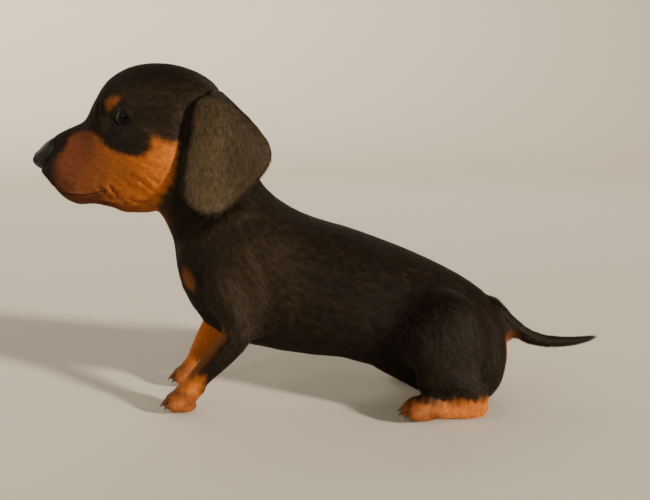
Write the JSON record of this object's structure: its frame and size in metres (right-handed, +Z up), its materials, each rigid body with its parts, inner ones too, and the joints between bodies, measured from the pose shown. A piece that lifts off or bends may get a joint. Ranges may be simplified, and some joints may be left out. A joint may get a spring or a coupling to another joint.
{
  "type": "sitting dachshund puppy",
  "caption": "Life-size still model of a smooth-haired dachshund puppy sitting upright, head level, drooping ears, tail stretched behind.",
  "frame": {"origin": "on the floor, under the centre of the bounding box", "axes": "+X from the nose towards the tail, +Y towards the puppy's right side, +Z up"},
  "size_m": [0.3312, 0.1032, 0.1982],
  "materials": {
    "black_coat": "short flat glossy fur, black with a brown cast",
    "tan_coat": "short flat fur, deep orange tan",
    "nose_leather": "moist pebbled black skin",
    "eyeball": "wet, very dark brown"
  },
  "bodies": {
    "root": {"head": "black_coat", "nose": "nose_leather", "neck": "black_coat", "torso": "black_coat", "eye_left": "eyeball", "eye_right": "eyeball", "ear_left": "black_coat", "ear_right": "black_coat", "foreleg_left": "tan_coat", "foreleg_right": "tan_coat", "hindleg_left": "black_coat", "hindleg_right": "black_coat", "tail": "black_coat"}
  },
  "joints": []
}
